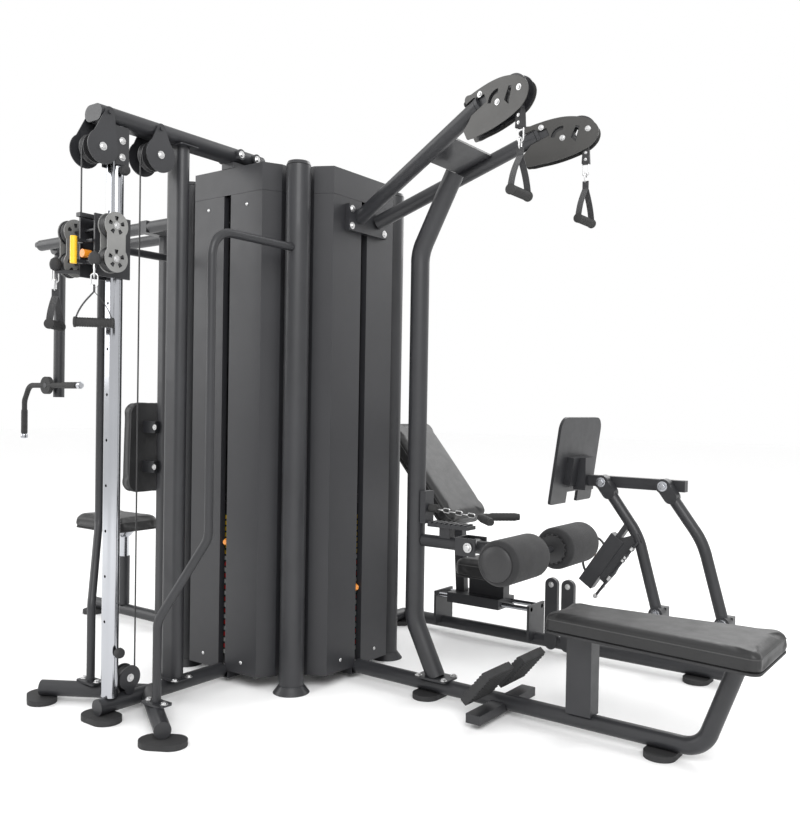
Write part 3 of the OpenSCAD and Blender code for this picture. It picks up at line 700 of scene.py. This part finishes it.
def cable_block(node, eye, flat, side):
    """Block that widens downwards from the eye to the first link."""
    bm = bmesh.new()
    rings = []
    for drop, half in ((0.006, 0.010), (0.022, 0.013), (0.074, 0.016)):
        rings.append([bm.verts.new(eye - Vector((0, 0, drop)) + flat * a * half + side * b * 0.0125)
                      for a, b in ((-1, -1), (1, -1), (1, 1), (-1, 1))])
    for high, low in zip(rings, rings[1:]):
        for k in range(4):
            bm.faces.new((high[k], high[(k + 1) % 4], low[(k + 1) % 4], low[k]))
    bm.faces.new(rings[0])
    bm.faces.new(rings[-1][::-1])
    bmesh.ops.recalc_face_normals(bm, faces=bm.faces)
    block = piece(node + "_cable_block", bm, M["rubber"], smooth=False)
    bevel(block, 0.0025)
    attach(block, node)


def make_lat_handles():
    """Strap handles that hang from the eyes of the swivel heads."""
    for s, w in ((-1, "left"), (1, "right")):
        node = "lat_handle_" + w
        turn = arm_frame(s).to_3x3()
        eye = arm_frame(s) @ Vector((HEAD_EYE[0], 0, HEAD_EYE[1]))
        side = turn @ Vector((0, 1, 0))
        top = eye - Vector((0, 0, 0.140))
        strap_handle(node, top, 0.155, 0.062, node, node=node, stem=0.030)
        snap_links(node + "_links", [(top + Vector((0, 0, 0.014)), 0.010, 0.009),
                                     (top + Vector((0, 0, 0.048)), 0.017, 0.012)], node)
        lathe(node + "_barrel", [(0.0095, 0), (0.0098, 0.0012), (0.0098, 0.0228), (0.0095, 0.024)],
              eye - side * 0.012, side, M["powder_coat"], node, 32)
        flat = Vector((turn[0][0], turn[1][0], 0)).normalized()
        cable_block(node, eye, flat, side)
        bolts(node + "_block_bolts", [(eye - Vector((0, 0, z)) - side * 0.0125, -side)
                                      for z in (0.032, 0.058)], 0.004, node)


def smooth_outline(points, steps=6):
    """A closed curve through the points."""
    out, n = [], len(points)
    for i in range(n):
        a, b, c, d = (Vector(points[(i + k) % n]) for k in (-1, 0, 1, 2))
        for k in range(steps):
            u = k / steps
            out.append(0.5 * ((2 * b) + (c - a) * u + (2 * a - 5 * b + 4 * c - d) * u * u
                              + (3 * b - a - 3 * c + d) * u ** 3))
    return out


def leaf_outlines():
    """Rim, arc slot and slanted slot of a swivel head's side plate, in the head's XZ plane."""
    back = [(-0.038, 0.046), (0.000, 0.046), (0.050, 0.038), (0.096, 0.027), (0.140, 0.011),
            (0.180, -0.012), (0.212, -0.040), (0.231, -0.074), (0.229, -0.104), (0.206, -0.129),
            (0.165, -0.142), (0.100, -0.139), (0.036, -0.129), (-0.020, -0.114), (-0.062, -0.101),
            (-0.080, -0.076)]
    notch = [(-0.084, -0.052), (-0.050, -0.038), (-0.029, -0.025), (0.053, -0.025), (0.053, 0.008),
             (0.022, 0.012), (0.004, 0.028), (-0.036, 0.029)]
    steps = 6
    # the stretch of curve that would close the rim gives way to the notch
    rim = smooth_outline(back, steps)[:-steps] + [Vector(p) for p in notch]
    slot = []
    for r, turns in ((0.031, range(62, 151, 8)), (0.048, range(150, 61, -8))):
        slot += [(HEAD_PIN[0] + r * math.cos(math.radians(k)),
                  HEAD_PIN[1] + r * math.sin(math.radians(k))) for k in turns]
    lean = math.radians(52)
    slant = [(0.134 + x * math.cos(lean) - y * math.sin(lean),
              -0.093 + x * math.sin(lean) + y * math.cos(lean))
             for x, y in ((-0.004, -0.004), (0.058, -0.002), (0.058, 0.014), (0.010, 0.022))]
    return [rim, slot, slant]


def make_heads():
    """Leaf side plates with their slots, bolts and a stop knob on each swivel head."""
    outlines = leaf_outlines()
    for s, w in ((-1, "left"), (1, "right")):
        head = arm_frame(s)
        turn = head.to_3x3()
        side = turn @ Vector((0, 1, 0))
        body = "head_" + w
        places = []
        for x, z in (HEAD_PIN, (0.034, 0.020), (0.196, -0.074)):
            places += [(head @ Vector((x, k * 0.0222, z)), side * k) for k in (-1, 1)]
        bolts(body + "_bolts", places, 0.0075, body)
        for k, q in ((-1, "near"), (1, "far")):
            place = head @ Matrix.Translation((0, k * 0.0208, 0)) @ UPRIGHT_XZ
            flat_plate(f"{body}_leaf_{q}", outlines, 0.0028, place, M["leaf_paint"], body)
        lathe(body + "_knob", [(0.007, 0), (0.007, 0.008), (0.0135, 0.010), (0.0145, 0.016),
                               (0.0125, 0.024), (0.007, 0.028)],
              head @ Vector((-0.030, 0, 0.043)), turn @ Vector((-1, 0, 0)), M["rubber"], body, 32)
        bm = bmesh.new()
        box_into(bm, (-0.034, -0.0200, 0.0335), (0.034, 0.0200, 0.0405))
        bm.transform(head)
        bridge = piece(body + "_ear_bridge", bm, M["powder_coat"], smooth=False)
        bevel(bridge, 0.001)
        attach(bridge, body)


def make_carriage_cheeks():
    """Pale figure-eight plates with five windows round each pulley axle."""
    rim = []
    for c, first in ((AXLE_RISE, -38), (-AXLE_RISE, 142)):
        for k in range(41):
            a = math.radians(first + 256 * k / 40)
            rim.append((0.047 * math.cos(a), c + 0.047 * math.sin(a)))
    windows = []
    for c in (AXLE_RISE, -AXLE_RISE):
        for k in range(5):
            mid = math.radians(90 + 72 * k)
            hole = []
            for r, half in ((0.017, 0.30), (0.033, 0.27)):
                arc = [mid + half * (j / 4 - 1) for j in range(9)]
                hole += [(r * math.cos(a), c + r * math.sin(a))
                         for a in (arc if r < 0.02 else arc[::-1])]
            windows.append(hole)
    for s, w in ((-1, "left"), (1, "right")):
        for x, q in ((0.1413, "outer"), (0.1022, "inner")):
            place = Matrix.Translation((s * x, CARRIAGE.y, CARRIAGE.z)) @ UPRIGHT_YZ
            flat_plate(f"carriage_cheek_{w}_{q}", [rim] + windows, 0.0032, place, M["cheek_grey"],
                       "carriage")


def make_leg_adjuster():
    """Sleeve, web plate, pull knob, release hose and threaded rod on the inner linkage arm."""
    body = "leg_arm_inner"
    lean = math.radians(56)
    along = Vector((math.cos(lean), 0, math.sin(lean)))
    out = Vector((-math.sin(lean), 0, math.cos(lean)))
    centre = Vector((1.121, LEG_ARM_Y, 0.429))
    bm = bmesh.new()
    box_into(bm, (-0.0765, -0.0255, -0.0365), (0.200, 0.0255, 0.0362))
    strut = Matrix((along, Vector((0, 1, 0)), out)).transposed().to_4x4()
    bm.transform(Matrix.Translation(centre) @ strut)
    sleeve = piece("leg_adjuster_sleeve", bm, M["powder_coat"], smooth=False)
    bevel(sleeve, 0.003)
    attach(sleeve, body)
    web = [(1.150, 0.400), (1.240, 0.590), (1.330, 0.622), (1.348, 0.585), (1.268, 0.520),
           (1.225, 0.430), (1.180, 0.375)]
    flat_plate("leg_adjuster_web", [web], 0.012, Matrix.Translation((0, 0.835, 0)) @ UPRIGHT_XZ,
               M["powder_coat"], body)
    base = centre + along * 0.058 + out * 0.034
    lathe("leg_adjuster_stem", [(0.009, 0), (0.009, 0.006), (0.006, 0.008), (0.006, 0.014)], base,
          out, M["zinc"], body, 24)
    lathe("leg_adjuster_knob", [(0.007, 0), (0.009, 0.004), (0.017, 0.016), (0.018, 0.021),
                                (0.012, 0.024)],
          base + out * 0.010, out, M["orange_plastic"], body, 32)
    make_release_hose(body)
    make_threaded_rod(body)


def make_release_hose(body):
    """Thin hose that loops from the sleeve back down to its lower edge."""
    route = [(1.172, 0.525), (1.158, 0.562), (1.132, 0.582), (1.102, 0.583), (1.076, 0.565),
             (1.062, 0.532), (1.056, 0.490), (1.058, 0.450), (1.070, 0.420), (1.088, 0.408)]
    bm = bmesh.new()
    sweep_into(bm, [Vector((x, LEG_ARM_Y, z)) for x, z in route], circle_section(0.006), (0, 1, 0))
    hose = piece("leg_release_hose", bm, M["cable_jacket"])
    sub = hose.modifiers.new("sub", "SUBSURF")
    sub.levels = sub.render_levels = 2
    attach(hose, body)


def make_threaded_rod(body):
    """Rod beside the arm, with its hexagon nuts and two cross pins."""
    low, high = Vector((1.133, 0.812, 0.313)), Vector((1.306, 0.812, 0.550))
    ahead = (high - low).normalized()
    lathe("leg_threaded_rod", [(0.0060, 0), (0.0065, 0.002), (0.0065, 0.336), (0.0060, 0.340)], low,
          ahead, M["powder_coat"], body, 24)
    bm = bmesh.new()
    for h, r, deep in ((0.004, 0.011, 0.016), (0.110, 0.010, 0.022), (0.222, 0.010, 0.012),
                       (0.240, 0.010, 0.012), (0.290, 0.011, 0.016)):
        lathe_into(bm, [(r, 0), (r, deep)], low + ahead * h, ahead, 6)
    for h in (0.060, 0.250):
        lathe_into(bm, [(0.007, 0), (0.007, 0.026)], low + ahead * h + Vector((0, 0.001, 0)),
                   (0, 1, 0), 16)
    nuts = piece("leg_rod_nuts", bm, M["zinc"], smooth=False)
    bevel(nuts, 0.0008)
    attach(nuts, body)


def make_foot_rubbers():
    """Thick ribbed rubber treads over the two slanted foot plates."""
    for s, w in ((-1, "near"), (1, "far")):
        place = (Matrix.Translation((1.130, s * 0.130, 0.150))
                 @ Matrix.Rotation(math.radians(-50), 4, "Y"))
        bm = bmesh.new()
        box_into(bm, (-0.079, -0.089, -0.014), (0.079, 0.089, 0.016))
        for k in range(9):
            x = -0.064 + 0.016 * k
            box_into(bm, (x - 0.0045, -0.0885, 0.012), (x + 0.0045, 0.0885, 0.0205))
            box_into(bm, (x - 0.0045, -0.0885, -0.0175), (x + 0.0045, 0.0885, -0.010))
        bm.transform(place)
        tread = piece("foot_tread_" + w, bm, M["rubber"], smooth=False)
        bevel(tread, 0.003, 3)
        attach(tread, "frame")


STACKS = {"lat": (0, 11, 0.055), "cable": (-90, 19, -0.034), "leg": (90, 14, 0.034),
          "press": (180, 15, 0.034)}
PLATES, PITCH, PLATE_BASE, PLATE_FACE = 24, 0.025, 0.100, 0.360


def make_labels():
    """A printed number strip on every plate, in three generic colours."""
    for arm, (turn, pinned, offset) in STACKS.items():
        spin = Matrix.Rotation(math.radians(turn), 4, "Z")
        for body, first, last in (("frame", 0, pinned - 1), ("stack_" + arm, pinned, PLATES - 1)):
            for colour, every in (("label_white", 0), ("label_red", 1), ("label_yellow", 2)):
                bm = bmesh.new()
                for k in range(first, last + 1):
                    kind = 2 if k > 16 else k % 2
                    if kind != every:
                        continue
                    z = PLATE_BASE + k * PITCH
                    box_into(bm, (PLATE_FACE, offset - 0.016, z + 0.003),
                             (PLATE_FACE + 0.0012, offset + 0.016, z + 0.020))
                if not bm.verts:
                    bm.free()
                    continue
                bm.transform(spin)
                obj = piece(f"{colour}_{arm}_{body}", bm, M[colour], smooth=False)
                bevel(obj, 0.0004, 1)
                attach(obj, body)


def make_shroud_screws():
    """Four round screw heads on the face of each of the tower's four shrouds."""
    bm = bmesh.new()
    for turn in (0, 90, 180, 270):
        spin = Matrix.Rotation(math.radians(turn), 4, "Z")
        for y in (-0.115, 0.115):
            for z in (0.10, 1.99):
                lathe_into(bm, [(0.0075, 0), (0.0075, 0.0012), (0.0055, 0.0032), (0.002, 0.004)],
                           spin @ Vector((TOWER_FACE, y, z)), spin.to_3x3() @ Vector((1, 0, 0)), 20)
    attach(piece("shroud_screws", bm, M["zinc"]), "frame")


# ---------------------------------------------------------------- small fittings

def make_column_fittings():
    """Bracket plates and bolts at the column's top, and the two rubber bumpers."""
    y = COLUMN_Y
    bm = bmesh.new()
    box_into(bm, (0.0352, y - 0.03, 2.03), (0.0412, y + 0.03, 2.172))
    box_into(bm, (-0.0412, y - 0.03, 2.03), (-0.0352, y + 0.03, 2.172))
    plates = piece("column_top_plates", bm, M["powder_coat"], smooth=False)
    bevel(plates, 0.002)
    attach(plates, "frame")
    bolts("column_top_bolts", [((0.0412, y, z), (1, 0, 0)) for z in (2.06, 2.12)], 0.009, "frame")
    # the upper bumper stays clear of the carriage at its top stop
    for name, z in (("upper", 2.012), ("lower", 0.25)):
        lathe(f"column_bumper_{name}", [(0.008, 0), (0.008, 0.01), (0.017, 0.013), (0.020, 0.022),
                                        (0.017, 0.034), (0.008, 0.038)],
              (0.034, y, z), (1, 0, 0), M["rubber"], "frame")


def make_pulley_bolts():
    """Axle bolts of the pulleys in the housings and on the carriage."""
    places = []
    for node in ("top_pulley_front", "top_pulley_rear"):
        lo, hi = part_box(node)
        c = (lo + hi) / 2
        places += [((s * 0.056, c.y, c.z), (s, 0, 0)) for s in (-1, 1)]
    lo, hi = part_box("bottom_pulley")
    c = (lo + hi) / 2
    places += [((s * 0.024, c.y, c.z), (s, 0, 0)) for s in (-1, 1)]
    bolts("housing_bolts", places, 0.010, "frame")
    lo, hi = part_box("carriage_pulleys_upper")
    z_up = (lo.z + hi.z) / 2
    lo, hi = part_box("carriage_pulleys_lower")
    z_low = (lo.z + hi.z) / 2
    y = (lo.y + hi.y) / 2
    bolts("carriage_bolts", [((s * 0.143, y, z), (s, 0, 0)) for s in (-1, 1)
                             for z in (z_up, z_low)], 0.008, "carriage")


def make_frame_bolts():
    """Bolts of the base, posts, beams, roller pivot and leg press linkage."""
    places = [((0.815 + x, y, 0.086), (0, 0, 1)) for x in (-0.06, 0.06) for y in (-0.038, 0.038)]
    places += [((s * 0.2 + x, -0.9, 0.086), (0, 0, 1)) for s in (-1, 1) for x in (-0.042, 0.042)]
    places += [((x, REAR_POST_Y + y, 0.084), (0, 0, 1)) for x in (-0.058, 0.058)
               for y in (-0.034, 0.034)]
    places += [((-0.9, s * 0.06, z), (0, s, 0)) for z in (0.838, 1.042) for s in (-1, 1)]
    places += [((0.431, y, z), (1, 0, 0)) for y in (-0.11, 0.11) for z in (1.92, 1.99)]
    places += [((0.062, y, BEAM_Z), (1, 0, 0)) for y in (-0.39, -0.30)]
    bolts("frame_bolts", places, 0.010, "frame")
    bolts("roller_bolts", [(ROLLER_PIVOT + Vector((0, s * 0.050, 0)), (0, s, 0))
                           for s in (-1, 1)], 0.013, "frame")
    bolts("leg_low_bolts", [((x, LEG_BOLT_Y, 0.275), (0, -1, 0)) for x in (1.415, 1.70)], 0.015,
          "frame", "chrome")
    bolts("leg_high_bolts", [((x, LEG_BOLT_Y, 0.84), (0, -1, 0)) for x in (1.15, 1.435)], 0.015,
          "leg_link", "chrome")
    bolts("leg_lug_bolts", [((x, 0.8682, 0.33), (0, -1, 0)) for x in (0.89, 0.975)], 0.009,
          "frame")


def make_grips():
    """Rubber sleeves and chrome end caps on the press arm's grips."""
    x, y, z = PRESS_HUB
    ribs = [(0.0178, 0.004)]
    for k in range(12):
        ribs += [(0.0178, 0.014 + 0.010 * k), (0.0186, 0.018 + 0.010 * k)]
    ribs += [(0.0178, 0.142)]
    for name, base, axis in (("straight", (x + 0.15, y, z), (1, 0, 0)),
                             ("cranked", (x - 0.232, y, z - 0.14), (0, 0, -1))):
        lathe(f"press_grip_{name}", ribs, base, axis, M["grip_rubber"], "press_grips", 32)
        end = Vector(base) + Vector(axis) * (0.16 if name == "straight" else 0.15)
        lathe(f"press_grip_cap_{name}", [(0.0185, -0.004), (0.020, 0), (0.020, 0.018),
                                         (0.015, 0.022)],
              end, axis, M["chrome"], "press_grips", 32)


def make_row_chain():
    """Chain from the ball stop to the V handle, and the handle's two ribbed grips."""
    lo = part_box("row_handle")[0]
    bm = bmesh.new()
    start, end = Vector((lo.x + 0.036, 0, 0.760)), Vector((0.982, 0, 0.746))
    count = 6
    step = (end - start) / count
    for k in range(count):
        side = Vector((0, 1, 0)) if k % 2 else Vector((0, 0, 1))
        link_into(bm, start + step * (k + 0.5), step, side, step.length * 0.28, 0.008, 0.005)
    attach(piece("row_chain", bm, M["zinc"]), "row_handle")
    for s in (-1, 1):
        base = Vector((1.033, s * 0.030, 0.745))
        axis = Vector((120, s * 110, 0)).normalized()
        profile = [(0.0135, 0)] + [(0.0150 + 0.0012 * (k % 2), 0.006 + 0.007 * k)
                                   for k in range(14)] + [(0.013, 0.112)]
        lathe(f"row_grip_{'near' if s < 0 else 'far'}", profile, base, axis, M["grip_rubber"],
              "row_handle", 32)


def make_pin_ribs():
    """Moulded ribs round the orange selector knobs."""
    for arm, (turn, pinned, _) in STACKS.items():
        bm = bmesh.new()
        spin = Matrix.Rotation(math.radians(turn), 4, "Z")
        z = PLATE_BASE + pinned * PITCH + 0.0115
        for k in range(14):
            a = 2 * math.pi * k / 14
            place = Vector((0.368, 0.0148 * math.cos(a), z + 0.0148 * math.sin(a)))
            lathe_into(bm, [(0.0016, 0), (0.0016, 0.020)], spin @ place,
                       spin.to_3x3() @ Vector((1, 0, 0)), 8)
        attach(piece("selector_ribs_" + arm, bm, M["orange_plastic"]), "selector_" + arm)


make_camera()
make_stage()
dress_cad()
make_pads()
make_rollers()
make_carriage_handles()
make_lat_handles()
make_heads()
make_carriage_cheeks()
make_leg_adjuster()
make_foot_rubbers()
make_labels()
make_shroud_screws()
make_column_fittings()
make_pulley_bolts()
make_frame_bolts()
make_grips()
make_row_chain()
make_pin_ribs()

bpy.context.view_layer.update()
